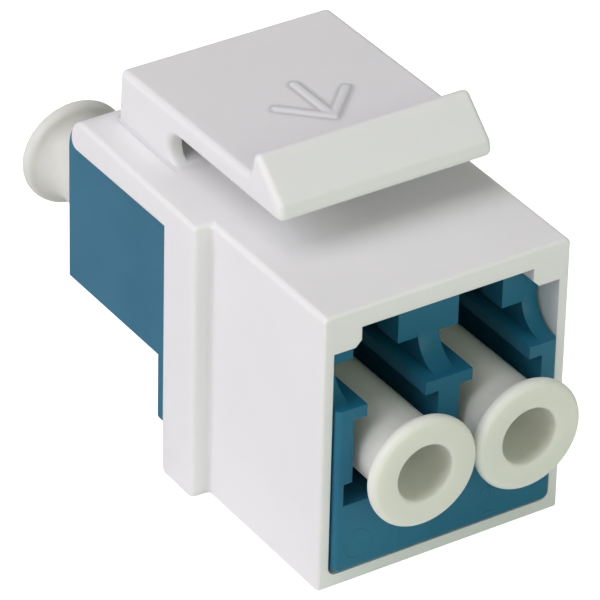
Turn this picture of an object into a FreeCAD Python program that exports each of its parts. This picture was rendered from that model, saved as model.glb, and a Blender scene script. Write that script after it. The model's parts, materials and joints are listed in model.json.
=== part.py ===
import FreeCAD, Part
import math
import os

import Sketcher

# Duplex LC fibre adapter in a snap-in keystone housing.
# Frame: X across, +Y from the front ports to the rear ports, +Z up, millimetres.
# The origin is on the bottom face of the housing, under the plane of the panel stop.

doc = FreeCAD.newDocument("lc_fibre_adapter")
sheet = doc.addObject("Spreadsheet::Sheet", "dims")

SIZES = [
    # white housing
    ("housing_width", 14.6, "outer width of the front sleeve"),
    ("housing_height", 16.2, "outer height of the front sleeve"),
    ("front_depth", 10.3, "front face to the panel stop"),
    ("side_wall", 0.6, "sleeve side wall"),
    ("floor_wall", 0.75, "sleeve floor"),
    ("top_wall", 1.1, "sleeve top wall"),
    ("sleeve_edge_round", 0.3, "round along the top edges of the sleeve"),
    ("sleeve_foot_round", 0.12, "round along the sleeve's lower edges"),
    ("room_foot_round", 0.5, "round along the lower corners of the adapter's room"),
    ("sleeve_front_round", 0.18, "round of the front rim"),
    ("corner_block_width", 1.6, "blocks in the upper corners of the sleeve, across"),
    ("corner_block_height", 1.1, "blocks in the upper corners, downwards"),
    ("corner_block_depth", 5.0, "blocks in the upper corners, from the front face"),
    ("corner_block_cut", 0.35, "bevel on the inner corner of each block"),
    ("collar_ledge", 1.0, "collar and roof stand out from the sleeve on each side"),
    ("collar_depth", 2.85, "collar that stops behind the panel, along Y"),
    ("collar_round", 0.4, "round of the collar's rear foot"),
    ("shoulder_round", 0.25, "round along the roof's sides and the collar's front"),
    ("collar_fillet", 0.2, "fillet between the sleeve and the collar"),
    ("roof_length", 12.1, "panel stop to the rear end of the roof"),
    ("roof_rise", 0.45, "rise of the roof from the panel stop to its rear end"),
    ("skirt_drop", 1.48, "roof side skirts below the top of the sleeve"),
    ("roof_end_round", 1.2, "round along the roof's rear top edge"),
    ("roof_lip_round", 0.6, "round along the roof's rear lower edge"),
    # latch on the roof
    ("latch_width", 12.65, "latch block and arm, across"),
    ("arm_gap", 2.1, "free space under the arm above the sleeve"),
    ("hinge_behind_stop", 3.9, "root of the arm behind the panel stop"),
    ("hinge_gap", 0.03, "between the arm's root and the block"),
    ("slot_centre", 4.85, "centre of the slot's round end behind the panel stop"),
    ("block_rear", 10.48, "panel stop to the top rear edge of the block"),
    ("block_draft", 0.2, "foot of the block further back than its top"),
    ("block_rise", 3.37, "top rear edge of the block above the sleeve"),
    ("arm_rise", 3.5, "top of the arm at its lip above the sleeve"),
    ("core_cheek", 0.86, "cheeks left beside the hollow of the block"),
    ("core_depth", 3.6, "hollow of the block behind the slot's end"),
    ("core_floor", 0.12, "hollow of the block above the roof"),
    ("panel_gap", 1.8, "panel thickness held between the lip and the stop"),
    ("lip_height", 1.42, "lip above the arm"),
    ("lip_lean", 0.28, "lean of the lip's catch face"),
    ("lip_crest", 0.2, "flat on the lip's crest"),
    ("lip_slope_end", 4.56, "end of the lip's lead-in slope ahead of the stop"),
    ("nose_height", 0.86, "blunt front of the arm"),
    ("nose_lean", 0.16, "lean of the blunt front"),
    ("nose_drop", 0.95, "lower end of the nose above the arm's underside less the nose height"),
    ("nose_undercut", 0.6, "bevel under the nose"),
    # teal adapter
    ("adapter_proud", 0.32, "adapter face ahead of the housing"),
    ("adapter_half", 12.85, "adapter face to the ferrule contact plane"),
    ("adapter_side_gap", 0.12, "adapter to each side wall"),
    ("adapter_floor_gap", 0.19, "adapter to the sleeve floor"),
    ("adapter_top_gap", 0.05, "adapter to the sleeve top"),
    ("adapter_foot_round", 0.45, "round along the adapter's lower edges"),
    ("adapter_face_round", 0.3, "round of the adapter's front rim"),
    ("adapter_wall", 0.9, "walls around the hollow chin"),
    ("chin_face", 1.2, "front wall of the chin"),
    ("port_pitch", 6.25, "distance between the two port axes"),
    ("port_width", 5.0, "port, across"),
    ("port_height", 5.0, "port below the ears"),
    ("axis_height", 7.5, "port axes above the base"),
    ("ear_thickness", 0.7, "ears over the port"),
    ("ear_slot", 3.45, "opening between the ears"),
    ("channel_height", 1.37, "latch channel above the ears at the catch"),
    ("channel_roof", 0.75, "adapter wall above the latch channel"),
    ("catch_slot", 2.65, "opening between the latch catches"),
    ("catch_set_back", 1.99, "front face to the latch catch"),
    ("catch_depth", 1.76, "latch catch, along Y"),
    ("scoop_radius", 1.73, "finger scoop in the front walls"),
    ("keyway_depth", 0.5, "recess at the foot of each outer port wall"),
    ("keyway_height", 1.3, "height of that recess"),
    ("rear_floor_rise", 0.2, "rear port floor above the front port floor"),
    ("rear_floor_wall", 0.45, "wall under the rear ports"),
    ("rear_top_round", 2.4, "round of the adapter's top rear edge"),
    ("ledge_drop", 0.34, "stop ledge lower than the adapter's front half"),
    ("ledge_gap", 0.05, "stop ledge to the collar"),
    ("ledge_end", 6.13, "panel stop to the rear of the ledge"),
    # sleeve holder and sleeves
    ("plate_depth", 1.0, "holder plate of each half"),
    ("plate_side", 5.95, "holder seat, half its width"),
    ("plate_margin", 0.5, "holder seat below the port floor"),
    ("plate_top_margin", 0.1, "holder seat above the latch channel"),
    ("plate_fit", 0.05, "holder plate to its seat"),
    ("tube_diameter", 2.9, "holder tube, outside"),
    ("tube_length", 4.0, "contact plane to the tip of each holder tube"),
    ("tube_mouth", 1.56, "mouth of each holder tube, outside"),
    ("tube_throat", 1.32, "mouth of each holder tube, where it meets the sleeve"),
    ("sleeve_fit", 0.05, "alignment sleeve to the holder bore"),
    ("sleeve_length", 6.8, "split alignment sleeve"),
    ("sleeve_diameter", 1.6, "split alignment sleeve, outside"),
    ("sleeve_bore", 1.247, "split alignment sleeve, inside"),
    ("sleeve_slit", 0.25, "slit along the sleeve"),
    # dust plugs
    ("plug_length", 13.0, "dust plug, overall"),
    ("plug_proud", 2.71, "seated plug's flange face beyond the adapter face"),
    ("plug_play", 0.38, "plug body to the port walls"),
    ("plug_taper", 0.06, "loss of radius towards the inner end"),
    ("flange_gap", 0.05, "between the flanges of neighbouring plugs"),
    ("flange_rim", 0.25, "round on the flange's outer edge"),
    ("flange_edge", 0.2, "plain cylinder of the flange's edge"),
    ("flange_back", 0.25, "bevel behind the flange's edge"),
    ("neck_radius", 0.8, "hollow between flange and body"),
    ("plug_bore", 3.18, "front hole, at its mouth"),
    ("plug_bore_depth", 8.0, "front hole, deep"),
    ("plug_bore_draft", 0.09, "loss of radius at the bottom of the front hole"),
    ("plug_grip", 0.05, "inner socket to the holder tube"),
    ("plug_socket_depth", 3.6, "inner socket, deep"),
    ("plug_tip_chamfer", 0.25, "chamfer of the inner end"),
    ("loose_plug_pull", 3.6, "rear left plug, out of its seat"),
    ("loose_plug_rise", 0.52, "its upward lean as a share of the play"),
    ("loose_plug_drift", 0.36, "its sideways lean as a share of the play"),
]

for row, (alias, size, note) in enumerate(SIZES, start=1):
    sheet.set(f"A{row}", alias)
    sheet.set(f"B{row}", str(size))
    sheet.set(f"C{row}", note)
    sheet.setAlias(f"B{row}", alias)
doc.recompute()


def value(expression):
    """Number that an expression on the sheet gives now."""
    return float(sheet.evalExpression(expression))


# ---------------------------------------------------------------- shared places
HALF_WIDTH = "dims.housing_width / 2"
FRONT = "-dims.front_depth"
HALF_COLLAR = f"({HALF_WIDTH} + dims.collar_ledge)"
COLLAR_END = "dims.collar_depth"
CAVITY_SIDE = "(dims.housing_width / 2 - dims.side_wall)"
CAVITY_TOP = "(dims.housing_height - dims.top_wall)"
ROOF_SLOPE = "dims.roof_rise / dims.roof_length"
ROOF_AT_SLOT = f"(dims.housing_height + {ROOF_SLOPE} * dims.slot_centre)"
ARM_UNDER = "(dims.housing_height + dims.arm_gap)"
ARM_SLOPE = "(dims.arm_rise - dims.block_rise) / (dims.block_rear + dims.panel_gap)"
ARM_TOP_AT_HINGE = (
    "(dims.housing_height + dims.block_rise"
    f" + {ARM_SLOPE} * (dims.block_rear - dims.hinge_behind_stop))"
)
ARM_TOP_AT_LIP = "(dims.housing_height + dims.arm_rise)"
ROOT_RADIUS = f"(({ARM_TOP_AT_HINGE} - {ARM_UNDER}) / 2)"
SLOT_RADIUS = f"(({ARM_UNDER} - {ROOF_AT_SLOT}) / 2)"

ADAPTER_FRONT = "(-dims.front_depth - dims.adapter_proud)"
ADAPTER_MIDDLE = f"({ADAPTER_FRONT} + dims.adapter_half)"
ADAPTER_REAR = f"({ADAPTER_MIDDLE} + dims.adapter_half)"
ADAPTER_SIDE = f"({CAVITY_SIDE} - dims.adapter_side_gap)"
ADAPTER_FLOOR = "(dims.floor_wall + dims.adapter_floor_gap)"
ADAPTER_TOP = f"({CAVITY_TOP} - dims.adapter_top_gap)"
PORT_FLOOR = "(dims.axis_height - dims.port_height / 2)"
EAR_FLOOR = "(dims.axis_height + dims.port_height / 2)"
EAR_TOP = f"({EAR_FLOOR} + dims.ear_thickness)"
CATCH_FLOOR = f"({EAR_TOP} + dims.channel_height)"
CHANNEL_TOP = f"({ADAPTER_TOP} - dims.channel_roof)"
CATCH_FACE = f"({ADAPTER_FRONT} + dims.catch_set_back)"
CATCH_BACK = f"({CATCH_FACE} + dims.catch_depth)"
SEAT_FLOOR = f"({PORT_FLOOR} - dims.plate_margin)"
SEAT_TOP = f"({CHANNEL_TOP} + dims.plate_top_margin)"
REAR_FLOOR = f"({PORT_FLOOR} + dims.rear_floor_rise)"
REAR_BASE = f"({REAR_FLOOR} - dims.rear_floor_wall)"

FLANGE_RADIUS = "((dims.port_pitch - dims.flange_gap) / 2)"
PLUG_RADIUS = "(dims.port_width / 2 - dims.plug_play)"
SOCKET_RADIUS = "(dims.tube_diameter / 2 + dims.plug_grip)"
HOLDER_BORE = "(dims.sleeve_diameter / 2 + dims.sleeve_fit)"
SEAT_END = "(dims.sleeve_length / 2 + dims.sleeve_fit)"

BEYOND = "1"  # how far a cut runs past the faces that it opens


# ---------------------------------------------------------------- sketch helpers
def plane_of(body, role):
    """Origin plane of a body, by its role."""
    return [item for item in body.Origin.OriginFeatures if item.Role == role][0]


def new_sketch(body, role, offset, name):
    """Empty sketch on an origin plane, moved along the plane's normal."""
    sketch = body.newObject("Sketcher::SketchObject", name)
    sketch.AttachmentSupport = [(plane_of(body, role), "")]
    sketch.MapMode = "FlatFace"
    sketch.setExpression("AttachmentOffset.Base.z", offset)
    return sketch


def arc_between(start, end, radius, turn):
    """Arc from start to end; turn is +1 counter-clockwise and -1 clockwise."""
    chord = end.sub(start)
    half = chord.Length / 2
    rise = math.sqrt(max(radius * radius - half * half, 0.0))
    across = FreeCAD.Vector(-chord.y, chord.x, 0).normalize()
    centre = (start + end) * 0.5 + across * (rise * turn)
    first, last = (start, end) if turn > 0 else (end, start)
    angles = [math.atan2(p.y - centre.y, p.x - centre.x) for p in (first, last)]
    if angles[1] <= angles[0]:
        angles[1] += 2 * math.pi
    circle = Part.Circle(centre, FreeCAD.Vector(0, 0, 1), radius)
    return Part.ArcOfCircle(circle, angles[0], angles[1])


def outline(sketch, corners):
    """Closed outline. Each corner is (across, up), or (across, up, radius, turn)
    where the edge that follows it is an arc. All entries but turn are expressions."""
    points = [FreeCAD.Vector(value(corner[0]), value(corner[1]), 0) for corner in corners]
    base = sketch.GeometryCount
    count = len(corners)
    starts = []
    for index, corner in enumerate(corners):
        start, end = points[index], points[(index + 1) % count]
        if len(corner) == 2:
            sketch.addGeometry(Part.LineSegment(start, end), False)
            starts.append((1, 2))
        else:
            arc = arc_between(start, end, value(corner[2]), corner[3])
            sketch.addGeometry(arc, False)
            starts.append((1, 2) if corner[3] > 0 else (2, 1))
    for index, corner in enumerate(corners):
        following = (index + 1) % count
        joint = Sketcher.Constraint(
            "Coincident", base + index, starts[index][1], base + following, starts[following][0]
        )
        sketch.addConstraint(joint)
        for kind, entry, place in (("DistanceX", corner[0], points[index].x),
                                   ("DistanceY", corner[1], points[index].y)):
            number = sketch.addConstraint(
                Sketcher.Constraint(kind, -1, 1, base + index, starts[index][0], place)
            )
            sketch.setExpression(f"Constraints[{number}]", entry)
        if len(corner) == 4:
            # A half circle is fixed by its centre, straight between its two ends.
            half_circle = points[index].distanceToPoint(points[following]) > 1.99 * value(corner[2])
            if half_circle:
                rule = Sketcher.Constraint("DistanceX", -1, 1, base + index, 3, points[index].x)
            else:
                rule = Sketcher.Constraint("Radius", base + index, value(corner[2]))
            number = sketch.addConstraint(rule)
            sketch.setExpression(f"Constraints[{number}]", corner[0] if half_circle else corner[2])


def ring(sketch, across, up, radius):
    """Circle about a point."""
    centre = FreeCAD.Vector(value(across), value(up), 0)
    number = sketch.addGeometry(Part.Circle(centre, FreeCAD.Vector(0, 0, 1), value(radius)), False)
    for kind, entry, place in (("DistanceX", across, centre.x), ("DistanceY", up, centre.y)):
        fixed = sketch.addConstraint(Sketcher.Constraint(kind, -1, 1, number, 3, place))
        sketch.setExpression(f"Constraints[{fixed}]", entry)
    fixed = sketch.addConstraint(Sketcher.Constraint("Radius", number, value(radius)))
    sketch.setExpression(f"Constraints[{fixed}]", radius)


def block(x0, x1, z0, z1):
    """Four corners of an upright rectangle."""
    return [(x0, z0), (x1, z0), (x1, z1), (x0, z1)]


def both_sides(shape_at):
    """Outlines at both ports: shape_at gets the sign of the side as an expression."""
    return [shape_at("-1"), shape_at("1")]


def feature_y(body, kind, name, outlines, start, end, rings=()):
    """Pad or pocket of outlines in X and Z, from start to end along Y."""
    sketch = new_sketch(body, "XZ_Plane", f"-({start})", name + "_sketch")
    for corners in outlines:
        outline(sketch, corners)
    for across, up, radius in rings:
        ring(sketch, across, up, radius)
    feature = body.newObject(f"PartDesign::{kind}", name)
    feature.Profile = sketch
    feature.Reversed = kind == "Pad"
    feature.setExpression("Length", f"({end}) - ({start})")
    sketch.Visibility = False
    doc.recompute()
    return feature


def feature_x(body, kind, name, corners, half_width):
    """Pad or pocket of a side-view outline in Y and Z, symmetric about X = 0."""
    sketch = new_sketch(body, "YZ_Plane", "0", name + "_sketch")
    outline(sketch, corners)
    feature = body.newObject(f"PartDesign::{kind}", name)
    feature.Profile = sketch
    feature.SideType = "Symmetric"
    feature.setExpression("Length", f"2 * ({half_width})")
    doc.recompute()
    return feature


def near(number, target, slack=0.01):
    return abs(number - target) < slack


def fillet(body, name, radius, wanted):
    """Round the edges of the body so far that the test picks."""
    base = body.Tip
    picked = [f"Edge{n}" for n, edge in enumerate(base.Shape.Edges, start=1) if wanted(edge)]
    feature = body.newObject("PartDesign::Fillet", name)
    feature.Base = (base, picked)
    feature.setExpression("Radius", radius)
    doc.recompute()
    return feature


def new_body(name):
    body = doc.addObject("PartDesign::Body", name)
    body.Label = name
    return body


def along_y(edge):
    box = edge.BoundBox
    return box.XLength < 0.01 and box.ZLength < 0.01 and box.YLength > 0.01


def along_x(edge):
    box = edge.BoundBox
    return box.YLength < 0.01 and box.ZLength < 0.01 and box.XLength > 0.01


# ---------------------------------------------------------------- white housing
# One moulding: a sleeve that fills the panel opening, a collar that stops it behind the
# panel, a roof over the adapter, and the block that carries the sprung arm.
housing = new_body("keystone_housing")
feature_y(housing, "Pad", "collar",
          [block(f"-{HALF_COLLAR}", HALF_COLLAR, "0", "dims.housing_height")],
          "0", COLLAR_END)
feature_x(housing, "Pad", "roof", [
    ("0", "dims.housing_height - dims.skirt_drop"),
    ("dims.roof_length", "dims.housing_height - dims.skirt_drop"),
    ("dims.roof_length", "dims.housing_height + dims.roof_rise"),
    ("0", "dims.housing_height"),
], HALF_COLLAR)
fillet(housing, "roof_end", "dims.roof_end_round",
       lambda edge: along_x(edge) and near(edge.BoundBox.YMin, value("dims.roof_length"))
       and edge.BoundBox.ZMin > value("dims.housing_height"))
fillet(housing, "roof_lip", "dims.roof_lip_round",
       lambda edge: along_x(edge) and near(edge.BoundBox.YMin, value("dims.roof_length"))
       and edge.BoundBox.ZMax < value("dims.housing_height - dims.top_wall"))
fillet(housing, "collar_foot", "dims.collar_round",
       lambda edge: along_x(edge) and near(edge.BoundBox.YMin, value(COLLAR_END))
       and near(edge.BoundBox.ZMax, 0))
fillet(housing, "shoulders", "dims.shoulder_round",
       lambda edge: (along_x(edge) and near(edge.BoundBox.YMax, 0) and edge.BoundBox.ZMin > 1)
       or (near(abs(edge.BoundBox.Center.x), value(HALF_COLLAR))
           and (near(edge.BoundBox.YMax, 0)
                or edge.BoundBox.ZMin > value("dims.housing_height") - 0.01)))
feature_y(housing, "Pad", "sleeve", [[
    (f"-{HALF_WIDTH} + dims.sleeve_foot_round", "0"),
    (f"{HALF_WIDTH} - dims.sleeve_foot_round", "0", "dims.sleeve_foot_round", 1),
    (HALF_WIDTH, "dims.sleeve_foot_round"),
    (HALF_WIDTH, "dims.housing_height - dims.sleeve_edge_round", "dims.sleeve_edge_round", 1),
    (f"{HALF_WIDTH} - dims.sleeve_edge_round", "dims.housing_height"),
    (f"-{HALF_WIDTH} + dims.sleeve_edge_round", "dims.housing_height", "dims.sleeve_edge_round", 1),
    (f"-{HALF_WIDTH}", "dims.housing_height - dims.sleeve_edge_round"),
    (f"-{HALF_WIDTH}", "dims.sleeve_foot_round", "dims.sleeve_foot_round", 1),
]], FRONT, COLLAR_END)
fillet(housing, "sleeve_rim", "dims.sleeve_front_round",
       lambda edge: near(edge.BoundBox.YMax, value(FRONT)))
fillet(housing, "collar_corner", "dims.collar_fillet",
       lambda edge: near(edge.BoundBox.YLength, 0) and near(edge.BoundBox.YMax, 0)
       and near(abs(edge.BoundBox.Center.x), value(HALF_WIDTH)))

# The latch block; its front is rounded out by the slot that frees the arm.
feature_x(housing, "Pad", "latch_block", [
    ("dims.slot_centre", "dims.housing_height - dims.top_wall / 2"),
    ("dims.block_rear + dims.block_draft", "dims.housing_height - dims.top_wall / 2"),
    ("dims.block_rear", "dims.housing_height + dims.block_rise"),
    (f"dims.hinge_behind_stop + {ROOT_RADIUS} + dims.hinge_gap", ARM_TOP_AT_HINGE),
    (f"dims.hinge_behind_stop + {ROOT_RADIUS} + dims.hinge_gap", ARM_UNDER),
    ("dims.slot_centre", ARM_UNDER, SLOT_RADIUS, -1),
    ("dims.slot_centre", ROOF_AT_SLOT),
], "dims.latch_width / 2")
feature_x(housing, "Pocket", "block_hollow", [
    ("dims.slot_centre", f"{ROOF_AT_SLOT} + dims.core_floor"),
    (f"dims.slot_centre + {SLOT_RADIUS} + dims.core_depth", f"{ROOF_AT_SLOT} + dims.core_floor"),
    (f"dims.slot_centre + {SLOT_RADIUS} + dims.core_depth", ARM_UNDER),
    ("dims.slot_centre", ARM_UNDER),
], "dims.latch_width / 2 - dims.core_cheek")

# The room for the adapter: open at the front, under the roof and behind the collar.
feature_y(housing, "Pocket", "front_room", [[
    (f"-{CAVITY_SIDE}", "dims.floor_wall"),
    (CAVITY_SIDE, "dims.floor_wall"),
    (CAVITY_SIDE, f"{CAVITY_TOP} - dims.corner_block_height"),
    (f"{CAVITY_SIDE} - dims.corner_block_width + dims.corner_block_cut",
     f"{CAVITY_TOP} - dims.corner_block_height"),
    (f"{CAVITY_SIDE} - dims.corner_block_width",
     f"{CAVITY_TOP} - dims.corner_block_height + dims.corner_block_cut"),
    (f"{CAVITY_SIDE} - dims.corner_block_width", CAVITY_TOP),
    (f"-{CAVITY_SIDE} + dims.corner_block_width", CAVITY_TOP),
    (f"-{CAVITY_SIDE} + dims.corner_block_width",
     f"{CAVITY_TOP} - dims.corner_block_height + dims.corner_block_cut"),
    (f"-{CAVITY_SIDE} + dims.corner_block_width - dims.corner_block_cut",
     f"{CAVITY_TOP} - dims.corner_block_height"),
    (f"-{CAVITY_SIDE}", f"{CAVITY_TOP} - dims.corner_block_height"),
]], f"{FRONT} - {BEYOND}", f"{FRONT} + dims.corner_block_depth")
feature_y(housing, "Pocket", "rear_room",
          [block(f"-{CAVITY_SIDE}", CAVITY_SIDE, "dims.floor_wall", CAVITY_TOP)],
          f"{FRONT} + dims.corner_block_depth", f"dims.roof_length + {BEYOND}")
fillet(housing, "room_feet", "dims.room_foot_round",
       lambda edge: along_y(edge) and near(edge.BoundBox.ZMax, value("dims.floor_wall"))
       and near(abs(edge.BoundBox.XMax), value(CAVITY_SIDE)))

# The sprung arm: it is free from the block's front to its nose and carries the lip
# that snaps behind the panel. Its root is round, about the axis where it bends.
arm = new_body("latch_arm")
feature_x(arm, "Pad", "arm", [
    ("dims.hinge_behind_stop", ARM_UNDER, ROOT_RADIUS, 1),
    ("dims.hinge_behind_stop", ARM_TOP_AT_HINGE),
    ("-dims.panel_gap", ARM_TOP_AT_LIP),
    ("-dims.panel_gap - dims.lip_lean", f"{ARM_TOP_AT_LIP} + dims.lip_height"),
    ("-dims.panel_gap - dims.lip_lean - dims.lip_crest", f"{ARM_TOP_AT_LIP} + dims.lip_height"),
    ("-dims.lip_slope_end", f"{ARM_UNDER} + dims.nose_drop"),
    ("-dims.lip_slope_end - dims.nose_lean", f"{ARM_UNDER} + dims.nose_drop - dims.nose_height"),
    ("-dims.lip_slope_end - dims.nose_lean + dims.nose_undercut", ARM_UNDER),
], "dims.latch_width / 2")


# ---------------------------------------------------------------- teal adapter
def port_cut(side, low, high, half):
    """Rectangle about a port axis between two heights."""
    middle = f"({side}) * dims.port_pitch / 2"
    return block(f"{middle} - {half}", f"{middle} + {half}", low, high)


def cut_ports(body, prefix, floor, start, end):
    """Port bodies, slots between the ears and latch channels, between two places along Y."""
    feature_y(body, "Pocket", prefix + "_ports",
              both_sides(lambda side: port_cut(side, floor, EAR_FLOOR, "dims.port_width / 2")),
              start, end)
    feature_y(body, "Pocket", prefix + "_ear_slots",
              both_sides(lambda side: port_cut(side, EAR_FLOOR, EAR_TOP, "dims.ear_slot / 2")),
              start, end)


def keyway(side):
    """Recess at the foot of the outer port wall."""
    wall = f"({side}) * (dims.port_pitch / 2 + dims.port_width / 2)"
    reach = f"{wall} + ({side}) * dims.keyway_depth"
    inner = f"({side}) * dims.port_pitch / 2"
    corners = block(inner, reach, PORT_FLOOR, f"{PORT_FLOOR} + dims.keyway_height")
    return corners if value(side) > 0 else corners[::-1]


# The front half holds the two front ports. Its walls are scooped down to the ears so
# that a finger reaches the connectors' latches, and its chin is cored out from behind.
front_shell = new_body("adapter_front_shell")
feature_y(front_shell, "Pad", "front_body",
          [block(f"-{ADAPTER_SIDE}", ADAPTER_SIDE, ADAPTER_FLOOR, ADAPTER_TOP)],
          ADAPTER_FRONT, ADAPTER_MIDDLE)
fillet(front_shell, "front_feet", "dims.adapter_foot_round",
       lambda edge: along_y(edge) and near(edge.BoundBox.ZMax, value(ADAPTER_FLOOR)))
fillet(front_shell, "front_rim", "dims.adapter_face_round",
       lambda edge: near(edge.BoundBox.YMax, value(ADAPTER_FRONT))
       and edge.BoundBox.ZMin < value(ADAPTER_TOP) - 1)
cut_ports(front_shell, "front", PORT_FLOOR, f"{ADAPTER_FRONT} - {BEYOND}",
          f"{ADAPTER_MIDDLE} - dims.plate_depth")
feature_y(front_shell, "Pocket", "front_keyways", both_sides(keyway),
          f"{ADAPTER_FRONT} - {BEYOND}", CATCH_BACK)
feature_y(front_shell, "Pocket", "front_mouths",
          both_sides(lambda side: port_cut(side, EAR_TOP, f"{ADAPTER_TOP} + {BEYOND}",
                                           "dims.port_width / 2")),
          f"{ADAPTER_FRONT} - {BEYOND}", CATCH_FACE)
feature_y(front_shell, "Pocket", "front_channels",
          both_sides(lambda side: port_cut(side, EAR_TOP, CATCH_FLOOR, "dims.port_width / 2")),
          CATCH_FACE, CATCH_BACK)
feature_y(front_shell, "Pocket", "front_catches",
          both_sides(lambda side: port_cut(side, CATCH_FLOOR, f"{ADAPTER_TOP} + {BEYOND}",
                                           "dims.catch_slot / 2")),
          CATCH_FACE, CATCH_BACK)
feature_y(front_shell, "Pocket", "front_latch_room",
          both_sides(lambda side: port_cut(side, EAR_TOP, CHANNEL_TOP, "dims.port_width / 2")),
          CATCH_BACK, f"{ADAPTER_MIDDLE} - dims.plate_depth")
feature_x(front_shell, "Pocket", "scoops", [
    (f"{ADAPTER_FRONT} - {BEYOND}", EAR_TOP),
    (f"{CATCH_FACE} - dims.scoop_radius", EAR_TOP, "dims.scoop_radius", 1),
    (CATCH_FACE, f"{EAR_TOP} + dims.scoop_radius"),
    (CATCH_FACE, f"{ADAPTER_TOP} + {BEYOND}"),
    (f"{ADAPTER_FRONT} - {BEYOND}", f"{ADAPTER_TOP} + {BEYOND}"),
], f"{ADAPTER_SIDE} + {BEYOND}")
NOTCH_SIDE = f"({CAVITY_SIDE} - dims.corner_block_width - dims.adapter_side_gap)"
NOTCH_FLOOR = f"({CAVITY_TOP} - dims.corner_block_height - dims.adapter_top_gap)"
feature_y(front_shell, "Pocket", "corner_notches", [
    block(NOTCH_SIDE, f"{ADAPTER_SIDE} + {BEYOND}", NOTCH_FLOOR, f"{ADAPTER_TOP} + {BEYOND}"),
    block(f"-{ADAPTER_SIDE} - {BEYOND}", f"-{NOTCH_SIDE}", NOTCH_FLOOR,
          f"{ADAPTER_TOP} + {BEYOND}"),
], f"{ADAPTER_FRONT} - {BEYOND}", f"{FRONT} + dims.corner_block_depth + dims.adapter_side_gap")
feature_y(front_shell, "Pocket", "front_plate_seat",
          [block("-dims.plate_side", "dims.plate_side", SEAT_FLOOR, SEAT_TOP)],
          f"{ADAPTER_MIDDLE} - dims.plate_depth", f"{ADAPTER_MIDDLE} + {BEYOND}")
CORE_SIDE = f"({ADAPTER_SIDE} - dims.adapter_wall)"
CORE_FLOOR = f"({ADAPTER_FLOOR} + dims.adapter_wall)"
CORE_TOP = f"({SEAT_FLOOR} - dims.adapter_wall)"
feature_y(front_shell, "Pocket", "chin_core",
          [block(f"-{CORE_SIDE}", CORE_SIDE, CORE_FLOOR, CORE_TOP)],
          f"{ADAPTER_FRONT} + dims.chin_face", f"{ADAPTER_MIDDLE} + {BEYOND}")

# The rear half: its lower ledge butts against the collar, its ports stand under the roof.
rear_shell = new_body("adapter_rear_shell")
feature_y(rear_shell, "Pad", "rear_body",
          [block(f"-{ADAPTER_SIDE}", ADAPTER_SIDE, REAR_BASE, ADAPTER_TOP)],
          ADAPTER_MIDDLE, ADAPTER_REAR)
fillet(rear_shell, "rear_top", "dims.rear_top_round",
       lambda edge: along_x(edge) and near(edge.BoundBox.YMin, value(ADAPTER_REAR))
       and near(edge.BoundBox.ZMin, value(ADAPTER_TOP)))
LEDGE_START = f"({COLLAR_END} + dims.ledge_gap)"
feature_y(rear_shell, "Pad", "rear_chin",
          [block(f"-{ADAPTER_SIDE}", ADAPTER_SIDE, ADAPTER_FLOOR, PORT_FLOOR)],
          ADAPTER_MIDDLE, LEDGE_START)
fillet(rear_shell, "chin_feet", "dims.adapter_foot_round",
       lambda edge: along_y(edge) and near(edge.BoundBox.ZMax, value(ADAPTER_FLOOR)))
LEDGE_FLOOR = f"({ADAPTER_FLOOR} - dims.ledge_drop)"
feature_y(rear_shell, "Pad", "stop_ledge",
          [block(f"-{ADAPTER_SIDE}", ADAPTER_SIDE, LEDGE_FLOOR, PORT_FLOOR)],
          LEDGE_START, "dims.ledge_end")
fillet(rear_shell, "ledge_feet", "dims.adapter_foot_round",
       lambda edge: along_y(edge) and near(edge.BoundBox.ZMax, value(LEDGE_FLOOR)))
cut_ports(rear_shell, "rear", REAR_FLOOR, f"{ADAPTER_MIDDLE} + dims.plate_depth",
          f"{ADAPTER_REAR} + {BEYOND}")
REAR_SHOULDER = f"({ADAPTER_REAR} - dims.catch_set_back - dims.catch_depth)"
feature_y(rear_shell, "Pocket", "rear_latch_room",
          both_sides(lambda side: port_cut(side, EAR_TOP, CHANNEL_TOP, "dims.port_width / 2")),
          f"{ADAPTER_MIDDLE} + dims.plate_depth", REAR_SHOULDER)
feature_y(rear_shell, "Pocket", "rear_catches",
          both_sides(lambda side: port_cut(side, EAR_TOP, CHANNEL_TOP, "dims.catch_slot / 2")),
          REAR_SHOULDER, f"{ADAPTER_REAR} + {BEYOND}")
feature_y(rear_shell, "Pocket", "rear_plate_seat",
          [block("-dims.plate_side", "dims.plate_side", SEAT_FLOOR, SEAT_TOP)],
          f"{ADAPTER_MIDDLE} - {BEYOND}", f"{ADAPTER_MIDDLE} + dims.plate_depth")
feature_y(rear_shell, "Pocket", "ledge_core",
          [block(f"-{CORE_SIDE}", CORE_SIDE, CORE_FLOOR, CORE_TOP)],
          f"{ADAPTER_MIDDLE} - {BEYOND}", f"dims.ledge_end + {BEYOND}")


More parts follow.
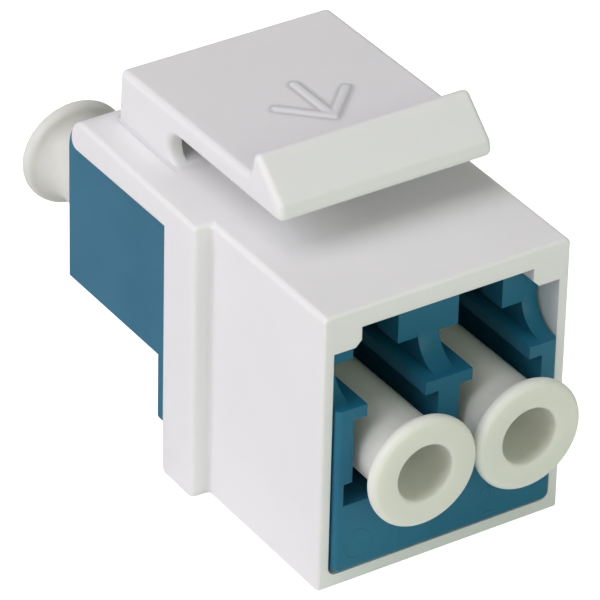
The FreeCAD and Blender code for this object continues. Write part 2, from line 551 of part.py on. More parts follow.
# ---------------------------------------------------------------- sleeve holder
# Two mirrored plates, each with two thin tubes, trap the split sleeves between them.
def build_holder(name, facing):
    """Half holder: facing is -1 for the front half and +1 for the rear half."""
    body = new_body(name)
    places = {
        "plate": ("0", "dims.plate_depth"),
        "tubes": ("0", "dims.tube_length"),
        "bores": (f"-{BEYOND}", SEAT_END),
    }
    plate = block("-(dims.plate_side - dims.plate_fit)", "dims.plate_side - dims.plate_fit",
                  f"{SEAT_FLOOR} + dims.plate_fit", f"{SEAT_TOP} - dims.plate_fit")
    axes = [f"({side}) * dims.port_pitch / 2" for side in ("-1", "1")]
    radii = {"tubes": "dims.tube_diameter / 2", "bores": HOLDER_BORE}
    for feature, (near_end, far_end) in places.items():
        if facing < 0:
            start, end = f"-({far_end})", f"-({near_end})"
        else:
            start, end = near_end, far_end
        kind = "Pocket" if feature == "bores" else "Pad"
        outlines = [plate] if feature == "plate" else []
        rings = [] if feature == "plate" else [(axis, "dims.axis_height", radii[feature])
                                               for axis in axes]
        feature_y(body, kind, f"{name}_{feature}", outlines, start, end, rings)
    # Each tube's mouth narrows inwards: it guides the ferrule and keeps the sleeve in.
    inner, outer = (SEAT_END, "dims.tube_throat / 2"), ("dims.tube_length", "dims.tube_mouth / 2")
    first, last = (inner, outer) if facing < 0 else (outer, inner)
    for number, axis in enumerate(axes, start=1):
        mouth = body.newObject("PartDesign::SubtractiveCone", f"{name}_mouth_{number}")
        mouth.AttachmentSupport = [(plane_of(body, "XZ_Plane"), "")]
        mouth.MapMode = "FlatFace"
        mouth.setExpression("AttachmentOffset.Base.x", axis)
        mouth.setExpression("AttachmentOffset.Base.y", "dims.axis_height")
        mouth.setExpression("AttachmentOffset.Base.z", f"-({facing}) * {first[0]}")
        mouth.setExpression("Radius1", first[1])
        mouth.setExpression("Radius2", last[1])
        mouth.setExpression("Height", f"dims.tube_length - {SEAT_END}")
        doc.recompute()
    body.setExpression("Placement.Base.y", ADAPTER_MIDDLE)
    return body


holders = [build_holder("sleeve_holder_front", -1), build_holder("sleeve_holder_rear", 1)]


def build_sleeve(name, side):
    """Split ceramic tube that lines up the two ferrules of one channel."""
    body = new_body(name)
    feature_y(body, "Pad", name + "_tube", [], "-dims.sleeve_length / 2", "dims.sleeve_length / 2",
              [("0", "0", "dims.sleeve_diameter / 2"), ("0", "0", "dims.sleeve_bore / 2")])
    feature_y(body, "Pocket", name + "_slit",
              [block("-dims.sleeve_slit / 2", "dims.sleeve_slit / 2", "0", "dims.sleeve_diameter")],
              f"-dims.sleeve_length / 2 - {BEYOND}", f"dims.sleeve_length / 2 + {BEYOND}")
    body.setExpression("Placement.Base.x", f"({side}) * dims.port_pitch / 2")
    body.setExpression("Placement.Base.y", ADAPTER_MIDDLE)
    body.setExpression("Placement.Base.z", "dims.axis_height")
    return body


sleeves = [build_sleeve("alignment_sleeve_left", "-1"), build_sleeve("alignment_sleeve_right", "1")]


# ---------------------------------------------------------------- dust plugs
# Turned form about Y: flange face at 0, body towards +Y, a blind hole from each end.
def build_plug(name):
    body = new_body(name)
    sketch = new_sketch(body, "XY_Plane", "0", name + "_sketch")
    shoulder = "(dims.flange_rim + dims.flange_edge)"
    neck_start = f"({PLUG_RADIUS} + dims.neck_radius)"
    neck_foot = f"({shoulder} + dims.flange_back + dims.neck_radius)"
    outline(sketch, [
        ("0", "dims.plug_bore_depth"),
        ("dims.plug_bore / 2 - dims.plug_bore_draft", "dims.plug_bore_depth"),
        ("dims.plug_bore / 2", "0"),
        (f"{FLANGE_RADIUS} - dims.flange_rim", "0", "dims.flange_rim", 1),
        (FLANGE_RADIUS, "dims.flange_rim"),
        (FLANGE_RADIUS, shoulder),
        (neck_start, f"{shoulder} + dims.flange_back", "dims.neck_radius", -1),
        (PLUG_RADIUS, neck_foot),
        (f"{PLUG_RADIUS} - dims.plug_taper", "dims.plug_length - dims.plug_tip_chamfer"),
        (f"{PLUG_RADIUS} - dims.plug_taper - dims.plug_tip_chamfer", "dims.plug_length"),
        (SOCKET_RADIUS, "dims.plug_length"),
        (SOCKET_RADIUS, "dims.plug_length - dims.plug_socket_depth"),
        ("0", "dims.plug_length - dims.plug_socket_depth"),
    ])
    turned = body.newObject("PartDesign::Revolution", name + "_turned")
    turned.Profile = sketch
    turned.ReferenceAxis = (sketch, ["V_Axis"])
    turned.Angle = 360
    doc.recompute()
    return body


FRONT_SEAT = f"({ADAPTER_FRONT} - dims.plug_proud)"
REAR_SEAT = f"({ADAPTER_REAR} + dims.plug_proud)"
plugs = {name: build_plug(name) for name in (
    "dust_plug_front_left", "dust_plug_front_right", "dust_plug_rear_left", "dust_plug_rear_right")}
for name, side, seat, turn in (("dust_plug_front_left", "-1", FRONT_SEAT, 0),
                               ("dust_plug_front_right", "1", FRONT_SEAT, 0),
                               ("dust_plug_rear_right", "1", REAR_SEAT, 180)):
    plug = plugs[name]
    plug.Placement = FreeCAD.Placement(
        FreeCAD.Vector(), FreeCAD.Rotation(FreeCAD.Vector(0, 0, 1), turn))
    plug.setExpression("Placement.Base.x", f"({side}) * dims.port_pitch / 2")
    plug.setExpression("Placement.Base.y", seat)
    plug.setExpression("Placement.Base.z", "dims.axis_height")

# The rear left plug is pulled part of the way out and leans within its play in the port,
# about the middle of the length that is still inside.
inside = value(f"dims.plug_length - dims.plug_proud - dims.loose_plug_pull")
play = value("dims.plug_play")
outward = FreeCAD.Vector(
    play * value("dims.loose_plug_drift") / (inside / 2), 1,
    play * value("dims.loose_plug_rise") / (inside / 2)).normalize()
pivot = FreeCAD.Vector(
    value("-dims.port_pitch / 2"), value(ADAPTER_REAR) - inside / 2,
    value(f"({REAR_FLOOR} + {EAR_FLOOR}) / 2"))
reach = value("dims.plug_length") - inside / 2
loose_plug = plugs["dust_plug_rear_left"]
loose_plug.Placement = FreeCAD.Placement(
    pivot + outward * reach, FreeCAD.Rotation(FreeCAD.Vector(0, 1, 0), outward * -1))

# ---------------------------------------------------------------- check and write
doc.recompute()
for item in doc.Objects:
    if "Invalid" in item.State or "Error" in item.State:
        raise RuntimeError(f"{item.Name} did not build: {item.State}")

os.makedirs("parts", exist_ok=True)
bodies = [housing, arm, front_shell, rear_shell] + holders + sleeves + list(plugs.values())
for body in bodies:
    shape = body.Shape
    if shape.isNull() or not shape.isValid() or len(shape.Solids) != 1:
        raise RuntimeError(f"{body.Label} is not one valid solid")
for body in bodies:
    body.Shape.exportStep(os.path.join("parts", body.Label + ".step"))
    box = body.Shape.optimalBoundingBox()
    print(f"{body.Label}: {body.Shape.Volume:.2f} mm3, "
          f"X {box.XMin:.2f} to {box.XMax:.2f}, Y {box.YMin:.2f} to {box.YMax:.2f}, "
          f"Z {box.ZMin:.2f} to {box.ZMax:.2f}")
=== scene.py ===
import json
import math

import bmesh
import bpy
from mathutils import Matrix, Vector, noise


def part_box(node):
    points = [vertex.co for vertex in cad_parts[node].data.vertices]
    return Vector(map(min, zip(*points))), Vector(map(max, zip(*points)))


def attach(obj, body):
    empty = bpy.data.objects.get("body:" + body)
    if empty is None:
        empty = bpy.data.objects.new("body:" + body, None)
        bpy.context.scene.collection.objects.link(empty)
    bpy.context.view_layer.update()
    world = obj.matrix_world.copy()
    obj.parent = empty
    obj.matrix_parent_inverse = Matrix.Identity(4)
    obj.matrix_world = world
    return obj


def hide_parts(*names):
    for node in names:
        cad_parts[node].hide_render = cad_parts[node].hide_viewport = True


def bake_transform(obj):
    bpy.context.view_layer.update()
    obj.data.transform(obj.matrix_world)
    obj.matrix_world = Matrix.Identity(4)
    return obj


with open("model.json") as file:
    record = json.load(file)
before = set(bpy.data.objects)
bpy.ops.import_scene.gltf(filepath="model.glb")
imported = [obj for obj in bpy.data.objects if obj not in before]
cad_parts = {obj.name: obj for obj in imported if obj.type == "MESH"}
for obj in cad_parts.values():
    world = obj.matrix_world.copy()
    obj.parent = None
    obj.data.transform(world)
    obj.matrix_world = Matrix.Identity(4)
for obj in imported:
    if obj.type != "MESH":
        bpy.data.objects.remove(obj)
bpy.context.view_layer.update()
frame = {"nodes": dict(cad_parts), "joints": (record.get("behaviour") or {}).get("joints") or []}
scene = bpy.context.scene
MM = 0.001


# ------------------------------------------------------------------ white housing
# Sleeve, panel stop, collar and roof, moulded in one piece in white ABS. It clips into a
# panel and holds the teal adapter.
def wire(tree, out_socket, in_socket):
    tree.links.new(out_socket, in_socket)


def noise_node(tree, scale, detail=2.0, rough=0.5):
    coordinates = tree.nodes.new("ShaderNodeTexCoord")
    texture = tree.nodes.new("ShaderNodeTexNoise")
    texture.inputs["Scale"].default_value = scale
    texture.inputs["Detail"].default_value = detail
    texture.inputs["Roughness"].default_value = rough
    wire(tree, coordinates.outputs["Object"], texture.inputs["Vector"])
    return texture


def span_node(tree, source, low, high, to_low, to_high):
    span = tree.nodes.new("ShaderNodeMapRange")
    span.inputs["From Min"].default_value = low
    span.inputs["From Max"].default_value = high
    span.inputs["To Min"].default_value = to_low
    span.inputs["To Max"].default_value = to_high
    wire(tree, source, span.inputs["Value"])
    return span.outputs["Result"]


# the fine bite of a spark-eroded mould, shared by all the plastics
grain = bpy.data.node_groups.new("mould grain", "ShaderNodeTree")
grain.interface.new_socket("Depth", in_out="INPUT", socket_type="NodeSocketFloat")
grain.interface.new_socket("Normal", in_out="OUTPUT", socket_type="NodeSocketVector")
grain_in = grain.nodes.new("NodeGroupInput")
grain_out = grain.nodes.new("NodeGroupOutput")
fine_grain = noise_node(grain, scale=9000, detail=3.0, rough=0.6)
broad_grain = noise_node(grain, scale=900)
fine_bump = grain.nodes.new("ShaderNodeBump")
fine_bump.inputs["Distance"].default_value = 0.02 * MM
wire(grain, grain_in.outputs["Depth"], fine_bump.inputs["Strength"])
wire(grain, fine_grain.outputs["Fac"], fine_bump.inputs["Height"])
broad_bump = grain.nodes.new("ShaderNodeBump")
broad_bump.inputs["Distance"].default_value = 0.04 * MM
broad_bump.inputs["Strength"].default_value = 0.18
wire(grain, broad_grain.outputs["Fac"], broad_bump.inputs["Height"])
wire(grain, fine_bump.outputs["Normal"], broad_bump.inputs["Normal"])
wire(grain, broad_bump.outputs["Normal"], grain_out.inputs["Normal"])

# the slow unevenness of colour and sheen that a moulding has
flow = bpy.data.node_groups.new("mould flow", "ShaderNodeTree")
flow.interface.new_socket("Cloud", in_out="OUTPUT", socket_type="NodeSocketFloat")
flow.interface.new_socket("Speck", in_out="OUTPUT", socket_type="NodeSocketFloat")
flow_out = flow.nodes.new("NodeGroupOutput")
cloud = noise_node(flow, scale=160, detail=3.0, rough=0.55)
wire(flow, span_node(flow, cloud.outputs["Fac"], 0.3, 0.7, 0.0, 1.0), flow_out.inputs["Cloud"])
speck = noise_node(flow, scale=2600, detail=1.0, rough=0.4)
wire(flow, span_node(flow, speck.outputs["Fac"], 0.78, 0.84, 0.0, 1.0), flow_out.inputs["Speck"])


def moulded_plastic(name, light, dark, speck_colour, gloss, grain_depth, glow, glow_depth, sheen=0.5):
    """Plastic with cloudy colour between two tones, a few specks, and a fine mould grain."""
    speck_strength = 0.35
    duller_in_clouds = 0.09
    colour_a, colour_b, mixed = 6, 7, 2
    material = bpy.data.materials.new(name)
    material.use_nodes = True
    tree = material.node_tree
    shader = tree.nodes["Principled BSDF"]
    flow_node = tree.nodes.new("ShaderNodeGroup")
    flow_node.node_tree = flow
    tone = tree.nodes.new("ShaderNodeMix")
    tone.data_type = "RGBA"
    tone.inputs[colour_a].default_value = (*light, 1)
    tone.inputs[colour_b].default_value = (*dark, 1)
    wire(tree, flow_node.outputs["Cloud"], tone.inputs[0])
    flecked = tree.nodes.new("ShaderNodeMix")
    flecked.data_type = "RGBA"
    flecked.inputs[colour_b].default_value = (*speck_colour, 1)
    wire(tree, tone.outputs[mixed], flecked.inputs[colour_a])
    wire(tree, span_node(tree, flow_node.outputs["Speck"], 0.0, 1.0, 0.0, speck_strength),
         flecked.inputs[0])
    wire(tree, flecked.outputs[mixed], shader.inputs["Base Color"])
    wire(tree, span_node(tree, flow_node.outputs["Cloud"], 0.0, 1.0, gloss, gloss + duller_in_clouds),
         shader.inputs["Roughness"])
    grain_node = tree.nodes.new("ShaderNodeGroup")
    grain_node.node_tree = grain
    grain_node.inputs["Depth"].default_value = grain_depth
    wire(tree, grain_node.outputs["Normal"], shader.inputs["Normal"])
    shader.inputs["Subsurface Weight"].default_value = glow
    shader.inputs["Subsurface Radius"].default_value = (1.0, 0.9, 0.75)
    shader.inputs["Subsurface Scale"].default_value = glow_depth
    shader.inputs["Specular IOR Level"].default_value = sheen
    return material


white_plastic = moulded_plastic(
    "white ABS", light=(0.88, 0.87, 0.895), dark=(0.86, 0.85, 0.875), speck_colour=(0.72, 0.71, 0.70),
    gloss=0.34, grain_depth=0.10, glow=0.25, glow_depth=0.0006, sheen=0.3)


def put_in_scene(name, mesh, material):
    piece = bpy.data.objects.new(name, mesh)
    scene.collection.objects.link(piece)
    piece.data.materials.clear()
    piece.data.materials.append(material)
    return piece


def applied(piece):
    """Turns the piece's modifiers into plain mesh."""
    bpy.context.view_layer.update()
    graph = bpy.context.evaluated_depsgraph_get()
    mesh = bpy.data.meshes.new_from_object(piece.evaluated_get(graph))
    piece.modifiers.clear()
    old = piece.data
    piece.data = mesh
    bpy.data.meshes.remove(old)
    return mesh


def finished(piece, smooth_angle=32):
    """Smooth shading that keeps real corners and keeps flat faces flat beside their rounds."""
    mesh = applied(piece)
    for face in mesh.polygons:
        face.use_smooth = True
    mesh.set_sharp_from_angle(angle=math.radians(smooth_angle))
    level = piece.modifiers.new("level faces", "WEIGHTED_NORMAL")
    level.keep_sharp = True
    level.weight = 90
    applied(piece)
    return piece


def soften(piece, width, angle=38, segments=2):
    """Small moulded round on the corners that the solid leaves sharp."""
    bevel = piece.modifiers.new("rounds", "BEVEL")
    bevel.width = width
    bevel.segments = segments
    bevel.limit_method = "ANGLE"
    bevel.angle_limit = math.radians(angle)
    bevel.use_clamp_overlap = True


def clean_copy(node, name, material):
    """Copy of a CAD solid with its shared corners merged and its flat faces whole."""
    form = bmesh.new()
    form.from_mesh(frame["nodes"][node].data)
    bmesh.ops.remove_doubles(form, verts=form.verts, dist=1e-7)
    bmesh.ops.dissolve_limit(form, angle_limit=math.radians(0.6), verts=form.verts,
                             edges=form.edges, delimit=set())
    mesh = bpy.data.meshes.new(name)
    form.to_mesh(mesh)
    form.free()
    return put_in_scene(name, mesh, material)


# The block on the roof belongs to the latch moulding below, so it is cut off this copy just
# above the roof, which rises a little towards the rear.
arm_low, arm_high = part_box("latch_arm")
half_latch = arm_high.x
roof_top = 16.2 * MM
roof_rise, roof_length = 0.45, 12.1
roof_slope = roof_rise / roof_length
block_front = 3.5 * MM
cut_above_roof = 0.02 * MM
housing = clean_copy("keystone_housing", "housing_shell", white_plastic)
form = bmesh.new()
form.from_mesh(housing.data)
block_faces = [face for face in form.faces if min(vert.co.y for vert in face.verts) > block_front]
block_edges = {edge for face in block_faces for edge in face.edges}
block_verts = {vert for face in block_faces for vert in face.verts}
cut = bmesh.ops.bisect_plane(
    form, geom=list(block_verts) + list(block_edges) + block_faces, dist=1e-7,
    plane_co=(0, 0, roof_top + cut_above_roof), plane_no=Vector((0, -roof_slope, 1)).normalized(),
    clear_outer=True)
rim = [item for item in cut["geom_cut"] if isinstance(item, bmesh.types.BMEdge)]
bmesh.ops.edgeloop_fill(form, edges=rim)
bmesh.ops.recalc_face_normals(form, faces=form.faces)
form.to_mesh(housing.data)
form.free()
soften(housing, width=0.06 * MM)
finished(housing, smooth_angle=42)

# the soft foot where the block rises from the roof, fading out towards the slot: rows of
# points up the hollow, at places along the block's sides and rear, all in millimetres
foot = bmesh.new()
foot.from_mesh(housing.data)
foot_radius, foot_front, foot_rear = 0.15, 4.9, 10.66
corner_round, corner_steps = 0.34, 6
fade_length, least_fade = 1.2, 0.02
sunk = 0.002
steps_up = 12
side = -half_latch / MM
path = [(Vector((side, y)), Vector((-1, 0))) for y in (foot_front, 5.3, 5.7, 6.2, 7.5, 9.0)]
corner = Vector((side + corner_round, foot_rear - corner_round))
for step in range(corner_steps + 1):
    turn = math.pi / 2 * step / corner_steps
    way = Vector((-math.cos(turn), math.sin(turn)))
    path.append((corner + way * corner_round, way))
path += [(Vector((-spot.x, spot.y)), Vector((-way.x, way.y))) for spot, way in reversed(path)]
rows = []
for spot, way in path:
    fade = min(1, max(least_fade, (spot.y - foot_front) / fade_length))
    radius = foot_radius * math.sqrt(fade)
    row = []
    for step in range(steps_up + 1):
        turn = math.pi / 2 * step / steps_up
        out = spot + way * (radius * (1 - math.cos(turn)) - sunk)
        rise = radius * (1 - math.sin(turn)) - sunk
        row.append(foot.verts.new((out.x * MM, out.y * MM,
                                   roof_top + roof_slope * out.y * MM + rise * MM)))
    rows.append(row)
for near_row, far_row in zip(rows, rows[1:]):
    for step in range(steps_up):
        face = foot.faces.new((near_row[step], near_row[step + 1], far_row[step + 1], far_row[step]))
        face.smooth = True
foot.to_mesh(housing.data)
foot.free()
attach(housing, "adapter")
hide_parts("keystone_housing")

# ------------------------------------------------------------------ latch block and arm
# The block and the arm that springs from it are one moulding too: the top runs on without
# a seam, the slot under the arm ends in a full round, and the lip has soft moulded edges.
def rounded_outline(corners, longest=0.9):
    """Closed outline from (y, z, radius) corners in millimetres, as finely spaced points in metres.
    Round corners become arcs, and long straight edges are divided so that they can bend."""
    points = []
    count = len(corners)
    for index in range(count):
        here = Vector(corners[index][:2])
        back = (Vector(corners[index - 1][:2]) - here).normalized()
        ahead = (Vector(corners[(index + 1) % count][:2]) - here).normalized()
        radius = corners[index][2]
        if radius == 0:
            points.append(here)
            continue
        half_angle = back.angle(ahead) / 2
        centre = here + (back + ahead).normalized() * (radius / math.sin(half_angle))
        first = here + back * (radius / math.tan(half_angle)) - centre
        last = here + ahead * (radius / math.tan(half_angle)) - centre
        sweep = first.angle_signed(last)
        steps = max(2, math.ceil(abs(sweep) / math.radians(11)))
        for step in range(steps + 1):
            points.append(centre + Matrix.Rotation(-sweep * step / steps, 2) @ first)
    spaced = []
    for index, point in enumerate(points):
        after = points[(index + 1) % len(points)]
        pieces = max(1, math.ceil((after - point).length / longest))
        spaced += [point.lerp(after, step / pieces) for step in range(pieces)]
    return [point * MM for point in spaced]


def rounded_prism(name, outline, half_width, rounding, material, segments=6):
    """Solid with the given side view across the part, its two end faces rounded all the way round."""
    count = len(outline)
    area = sum(outline[i - 1].cross(outline[i]) for i in range(count))
    inward = []
    for index in range(count):
        before = (outline[index] - outline[index - 1]).normalized()
        after = (outline[(index + 1) % count] - outline[index]).normalized()
        sides = [Vector((-edge.y, edge.x)) * math.copysign(1, area) for edge in (before, after)]
        inward.append((sides[0] + sides[1]) / (1 + sides[0].dot(sides[1])))
    form = bmesh.new()
    rings = []
    turns = [math.pi / 2 * step / segments for step in range(segments + 1)]
    stations = [(-1, turn) for turn in reversed(turns)] + [(1, turn) for turn in turns]
    for side, turn in stations:
        across = side * (half_width - rounding + rounding * math.sin(turn))
        inset = rounding * (1 - math.cos(turn))
        rings.append([form.verts.new((across, *(point + way * inset)))
                      for point, way in zip(outline, inward)])
    for near_ring, far_ring in zip(rings, rings[1:]):
        for index in range(count):
            after = (index + 1) % count
            form.faces.new((near_ring[index], far_ring[index], far_ring[after], near_ring[after]))
    form.faces.new(rings[0])
    form.faces.new(rings[-1][::-1])
    bmesh.ops.remove_doubles(form, verts=form.verts, dist=1e-8)
    bmesh.ops.recalc_face_normals(form, faces=form.faces)
    mesh = bpy.data.meshes.new(name)
    form.to_mesh(mesh)
    form.free()
    return put_in_scene(name, mesh, material)


def add_relief(piece, strokes, half_stroke, height, place):
    """Adds raised strokes with round shoulders to a piece. Strokes are chains of (u, v) points in
    millimetres, and place turns (u, v, height) into a point of the piece."""
    segments = [(Vector(a), Vector(b)) for chain in strokes for a, b in zip(chain, chain[1:])]
    cell = half_stroke / 4
    margin = half_stroke + 2 * cell
    flat_share, shoulder_share, skirt = 0.35, 0.75, 1.6
    sunk = 0.06 * height
    ends = [end for segment in segments for end in segment]
    low = [min(end[i] for end in ends) - margin for i in range(2)]
    high = [max(end[i] for end in ends) + margin for i in range(2)]
    counts = [math.ceil((high[i] - low[i]) / cell) for i in range(2)]

    def distance(spot):
        nearest = 1e9
        for start, end in segments:
            span = end - start
            share = max(0, min(1, (spot - start).dot(span) / span.length_squared))
            nearest = min(nearest, (spot - start - span * share).length)
        return nearest

    form = bmesh.new()
    form.from_mesh(piece.data)
    grid = {}
    for column in range(counts[0] + 1):
        for row in range(counts[1] + 1):
            spot = Vector((low[0] + column * cell, low[1] + row * cell))
            away = distance(spot) / half_stroke
            if away < skirt:
                ease = min(1, max(0, (away - flat_share) / shoulder_share))
                lift = height * (1 - ease * ease * (3 - 2 * ease)) - sunk
                grid[column, row] = form.verts.new(place(spot.x, spot.y, lift))
    for column, row in grid:
        around = [(column, row), (column + 1, row), (column + 1, row + 1), (column, row + 1)]
        if all(key in grid for key in around):
            face = form.faces.new([grid[key] for key in around])
            face.smooth = True
    form.normal_update()
    form.to_mesh(piece.data)
    form.free()


def carve(piece, low, high):
    """Takes a box-shaped bite out of a piece."""
    form = bmesh.new()
    bmesh.ops.create_cube(form, size=1.0)
    for vert in form.verts:
        vert.co = Vector([low[i] + (vert.co[i] + 0.5) * (high[i] - low[i]) for i in range(3)])
    mesh = bpy.data.meshes.new("bite")
    form.to_mesh(mesh)
    form.free()
    bite = bpy.data.objects.new("bite", mesh)
    scene.collection.objects.link(bite)
    cut = piece.modifiers.new("bite", "BOOLEAN")
    cut.object = bite
    cut.operation = "DIFFERENCE"
    cut.solver = "EXACT"
    applied(piece)
    bpy.data.objects.remove(bite)
    bpy.data.meshes.remove(mesh)


# outline of the moulding from the side, in millimetres: (y, z) and the radius of each corner
slot_y, under = 4.85, arm_low.z / MM
roof_here = (roof_top + roof_slope * slot_y * MM) / MM
slot_radius = (under - roof_here) / 2
slot_z = (under + roof_here) / 2
below_roof, block_rear = 0.4, 10.68
block_bottom = roof_here - below_roof
outer_round, inner_round, nose_round = 0.37, 0.22, 0.38
top_rear, top_front = (10.48, 19.57), (-1.8, 19.70)
lip_top, lip_brow, lip_nose, lip_heel = (-2.13, 21.41), (-4.56, 19.25), (-4.78, 18.33), (-4.12, under)
corners = [(slot_y, block_bottom, 0), (block_rear, block_bottom, 0), (*top_rear, outer_round),
           (*top_front, inner_round), (*lip_top, outer_round), (*lip_brow, outer_round),
           (*lip_nose, nose_round), (*lip_heel, outer_round)]
slot_steps = 16
for step in range(slot_steps + 1):
    turn = math.pi / 2 - math.pi * step / slot_steps
    corners.append((slot_y + slot_radius * math.cos(turn), slot_z + slot_radius * math.sin(turn), 0))
edge_round = 0.36 * MM
latch = rounded_prism("latch_moulding", rounded_outline(corners), half_latch, edge_round, white_plastic)

# the hollow that runs from the slot into the block, between two cheeks
cheek, hollow_floor, hollow_depth = 0.86, 0.12, 3.6
carve(latch, (-half_latch + cheek * MM, slot_y * MM, (roof_here + hollow_floor) * MM),
      (half_latch - cheek * MM, (slot_y + slot_radius + hollow_depth) * MM, under * MM))
finished(latch, smooth_angle=40)


def on_arm(u, v, lift):
    """Point on the slightly sloping top of the arm."""
    share = (v - top_front[0]) / (top_rear[0] - top_front[0])
    level = top_front[1] + (top_rear[1] - top_front[1]) * share
    return Vector((u, v, level + lift)) * MM


# plain raised arrow in the place of the moulded lettering
shaft, head = [(0.4, 4.5), (0.4, 0.9)], [(-1.7, 2.9), (0.4, 0.8), (2.5, 2.9)]
add_relief(latch, [shaft, head], half_stroke=0.3, height=0.11, place=on_arm)
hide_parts("latch_arm")
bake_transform(latch)

# ------------------------------------------------------------------ teal adapter
# Front and rear halves moulded in teal PBT and welded at the middle. Each has two ports with
# ears and scooped walls for a connector's latch, over a cored chin. They push into the sleeve.
teal_plastic = moulded_plastic(
    "teal PBT", light=(0.016, 0.163, 0.276), dark=(0.013, 0.145, 0.252), speck_colour=(0.05, 0.17, 0.24),
    gloss=0.38, grain_depth=0.22, glow=0.04, glow_depth=0.0003, sheen=0.32)

for node, name in (("adapter_front_shell", "front_shell"), ("adapter_rear_shell", "rear_shell")):
    shell = clean_copy(node, name, teal_plastic)
    soften(shell, width=0.07 * MM, angle=28)
    finished(shell)
    if name == "front_shell":
        face_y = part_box(node)[0].y / MM

        def on_chin(u, v, lift):
            return Vector((u, face_y - lift, v)) * MM

        # plain port numbers, and the round mark of an ejector pin
        one = [(-3.15, 2.75), (-2.85, 3.05), (-2.85, 1.45)]
        two = [(2.25, 2.65), (2.35, 2.9), (2.6, 3.03), (2.85, 2.9), (2.93, 2.62), (2.8, 2.35),
               (2.25, 1.48), (2.98, 1.48)]
        pin_x, pin_z, pin_radius = -5.24, 2.44, 0.83
        pin = [(pin_x + pin_radius * math.cos(math.radians(turn)),
                pin_z + pin_radius * math.sin(math.radians(turn))) for turn in range(0, 361, 12)]
        add_relief(shell, [one, two], half_stroke=0.1, height=0.06, place=on_chin)
        add_relief(shell, [pin], half_stroke=0.06, height=0.03, place=on_chin)
    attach(shell, "adapter")
    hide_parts(node)

# ------------------------------------------------------------------ inside the adapter
# Between the halves sit a teal two-part sleeve holder and two split sleeves of ground zirconia
# that line the ferrules up. They can only be glimpsed down a port, so they keep their CAD form.
# the holder gets a darker copy of the shell's teal: painted shade for the depths of the ports where it
# sits
holder_plastic_painted_shade = moulded_plastic(
    "teal PBT darkened as painted port shade", light=(0.011, 0.085, 0.135), dark=(0.009, 0.068, 0.11),
    speck_colour=(0.03, 0.12, 0.17), gloss=0.42, grain_depth=0.25, glow=0.0, glow_depth=0.0003, sheen=0.32)
zirconia = moulded_plastic(
    "zirconia", light=(0.86, 0.85, 0.80), dark=(0.82, 0.81, 0.76), speck_colour=(0.70, 0.68, 0.62),
    gloss=0.16, grain_depth=0.04, glow=0.3, glow_depth=0.0004)

for node, material in (("sleeve_holder_front", holder_plastic_painted_shade), ("sleeve_holder_rear", holder_plastic_painted_shade),
                       ("alignment_sleeve_left", zirconia), ("alignment_sleeve_right", zirconia)):
    part = frame["nodes"][node]
    part.data.materials.clear()
    part.data.materials.append(material)

# ------------------------------------------------------------------ dust plugs
# Soft polyethylene plugs, turned profile with a rounded flange, a hollow neck and a blind
# hole, slightly out of true as a soft moulding is.
plug_plastic = moulded_plastic(
    "soft plug polyethylene", light=(0.82, 0.82, 0.775), dark=(0.78, 0.785, 0.735),
    speck_colour=(0.70, 0.68, 0.62), gloss=0.40, grain_depth=0.16, glow=0.75, glow_depth=0.0011)


def arc(centre, radius, start, end, count):
    return [(centre[0] + radius * math.cos(math.radians(start + (end - start) * i / count)),
             centre[1] + radius * math.sin(math.radians(start + (end - start) * i / count)))
            for i in range(count + 1)]


def plug_profile():
    """Half section, (radius, depth behind the flange's face), in millimetres."""
    # blind hole, from its floor out to the rounded mouth
    profile = [(0.0, 8.0), (0.7, 8.0)]
    profile += arc((1.15, 7.66), 0.34, 90, 0, 5)
    profile += [(1.52, 5.4), (1.555, 2.8)]
    profile += arc((1.77, 0.18), 0.18, 180, 270, 5)
    # flange: flat face, round rim, and a hollow that runs down to the neck
    profile += [(2.25, 0.0)]
    profile += arc((2.78, 0.32), 0.32, 270, 360, 8)
    profile += arc((2.5, 0.38), 0.6, 0, 48, 7)
    profile += arc((4.03, 2.32), 1.915, 228, 182, 9)
    # slightly tapered neck, and the socket in its end
    profile += [(2.105, 4.5), (2.09, 7.0), (2.075, 9.8), (2.06, 12.6)]
    profile += arc((1.84, 12.78), 0.22, 0, 90, 4)
    profile += arc((1.66, 12.84), 0.16, 90, 180, 4)
    profile += [(1.5, 11.4), (1.5, 9.4), (0.0, 9.4)]
    return profile


def make_plug(name, node, outward, seed):
    """Turned plug on the axis of its CAD solid, with its flange's face at the outer end."""
    points = [vert.co.copy() for vert in frame["nodes"][node].data.vertices]
    reach = max(point.dot(outward) for point in points)
    face = [point for point in points if point.dot(outward) > reach - 1e-6]
    centre = sum(face, Vector()) / len(face)
    form = bmesh.new()
    ring = [form.verts.new((radius * MM, depth * MM, 0)) for radius, depth in plug_profile()]
    edges = [form.edges.new((ring[i], ring[i + 1])) for i in range(len(ring) - 1)]
    bmesh.ops.spin(form, geom=ring + edges, cent=(0, 0, 0), axis=(0, 1, 0), dvec=(0, 0, 0),
                   angle=2 * math.pi, steps=112, use_merge=True)
    bmesh.ops.remove_doubles(form, verts=form.verts, dist=2e-7)
    bmesh.ops.recalc_face_normals(form, faces=form.faces)
    out_of_true = 0.02 * MM
    waves_across, waves_along, apart = 260, 120, 7.3
    for vert in form.verts:
        away = Vector((vert.co.x, 0, vert.co.z))
        if away.length > 1e-6:
            spot = Vector((vert.co.x * waves_across, vert.co.y * waves_along + seed * apart,
                           vert.co.z * waves_across))
            vert.co += away.normalized() * noise.noise(spot) * out_of_true
    turn = Vector((0, -1, 0)).rotation_difference(outward).to_matrix().to_4x4()
    form.transform(Matrix.Translation(centre) @ turn)
    mesh = bpy.data.meshes.new(name)
    form.to_mesh(mesh)
    form.free()
    piece = finished(put_in_scene(name, mesh, plug_plastic), smooth_angle=50)
    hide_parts(node)
    return piece


slides = {joint["child"]: Vector(joint["axis"]).normalized() for joint in frame["joints"][1:]}
for seed, place in enumerate(("front_left", "front_right", "rear_left", "rear_right")):
    plug = make_plug("plug_" + place, "dust_plug_" + place, slides["plug_" + place], seed)
    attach(plug, "plug_" + place)

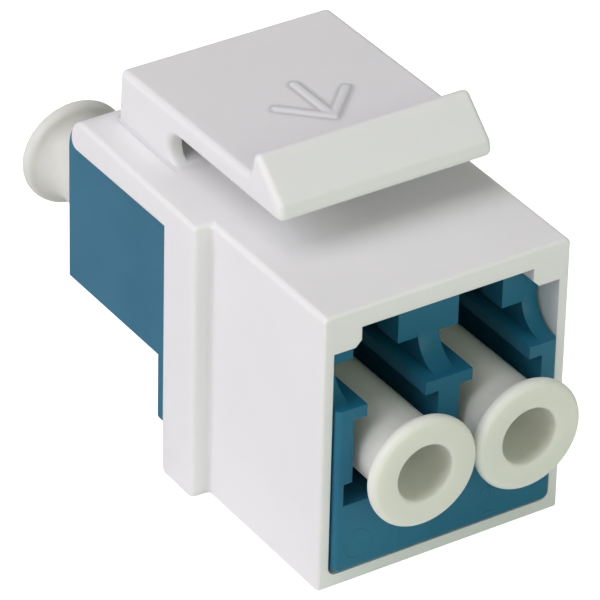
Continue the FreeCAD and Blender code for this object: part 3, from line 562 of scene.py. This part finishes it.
# ------------------------------------------------------------------ floor, light and camera
# Plain white studio floor and backdrop, with one soft light from the left, one from the front
# and one from above, and the camera.
floor_material = bpy.data.materials.new("studio white")
floor_material.use_nodes = True
floor_tree = floor_material.node_tree
floor_tree.nodes.clear()
floor_out = floor_tree.nodes.new("ShaderNodeOutputMaterial")
paper = floor_tree.nodes.new("ShaderNodeBsdfDiffuse")
paper.inputs["Color"].default_value = (0.9, 0.9, 0.9, 1)
backlit = floor_tree.nodes.new("ShaderNodeEmission")
backlit.inputs["Color"].default_value = (1, 1, 1, 1)
backlit.inputs["Strength"].default_value = 0.92
seen = floor_tree.nodes.new("ShaderNodeLightPath")
lit = floor_tree.nodes.new("ShaderNodeAddShader")
wire(floor_tree, paper.outputs[0], lit.inputs[0])
wire(floor_tree, backlit.outputs[0], lit.inputs[1])
by_ray = floor_tree.nodes.new("ShaderNodeMixShader")
wire(floor_tree, seen.outputs["Is Camera Ray"], by_ray.inputs[0])
wire(floor_tree, paper.outputs[0], by_ray.inputs[1])
wire(floor_tree, lit.outputs[0], by_ray.inputs[2])
wire(floor_tree, by_ray.outputs[0], floor_out.inputs["Surface"])
floor_mesh = bpy.data.meshes.new("floor")
form = bmesh.new()
bmesh.ops.create_grid(form, x_segments=1, y_segments=1, size=3.0)
form.to_mesh(floor_mesh)
form.free()
floor = put_in_scene("floor", floor_mesh, floor_material)
floor.location.z = -0.02 * MM

world = bpy.data.worlds.new("studio")
scene.world = world
world.use_nodes = True
world_tree = world.node_tree
sky = world_tree.nodes["Background"]
sky.inputs["Color"].default_value = (1, 0.98, 0.955, 1)
sky.inputs["Strength"].default_value = 0.24
backdrop = world_tree.nodes.new("ShaderNodeBackground")
backdrop.inputs["Color"].default_value = (1, 1, 1, 1)
backdrop.inputs["Strength"].default_value = 1.0
world_ray = world_tree.nodes.new("ShaderNodeLightPath")
world_mix = world_tree.nodes.new("ShaderNodeMixShader")
wire(world_tree, world_ray.outputs["Is Camera Ray"], world_mix.inputs[0])
wire(world_tree, sky.outputs[0], world_mix.inputs[1])
wire(world_tree, backdrop.outputs[0], world_mix.inputs[2])
wire(world_tree, world_mix.outputs[0], world_tree.nodes["World Output"].inputs["Surface"])


def softbox(name, place, size, power, tint):
    light = bpy.data.lights.new(name, "AREA")
    light.shape = "RECTANGLE"
    light.size, light.size_y = size
    light.energy = power
    light.color = tint
    lamp = bpy.data.objects.new(name, light)
    scene.collection.objects.link(lamp)
    lamp.location = place
    middle = Vector((0, 0, 9 * MM))
    lamp.rotation_euler = (middle - Vector(place)).to_track_quat("-Z", "Y").to_euler()


softbox("left", place=(-0.32, 0.03, 0.23), size=(0.3, 0.2), power=0.59, tint=(1.0, 0.97, 1.0))
softbox("front", place=(0.0, -0.42, 0.13), size=(0.3, 0.3), power=0.58, tint=(0.85, 1.0, 0.74))
softbox("top", place=(-0.17, 0.03, 0.39), size=(0.3, 0.3), power=0.53, tint=(1.0, 0.98, 1.0))

lens = bpy.data.cameras.new("camera")
lens.sensor_width = 36
lens.lens = 318.9
lens.clip_start = 0.01
lens.clip_end = 10
camera = bpy.data.objects.new("camera", lens)
scene.collection.objects.link(camera)
camera.location = (-0.12757, -0.18912, 0.15566)
heading, fall, roll = math.radians(33.597), math.radians(32.694), math.radians(1.4228)
camera.rotation_euler = (Matrix.Rotation(-heading, 3, "Z") @ Matrix.Rotation(math.pi / 2 - fall, 3, "X")
                         @ Matrix.Rotation(roll, 3, "Z")).to_euler()
scene.camera = camera
scene.view_settings.view_transform = "Standard"
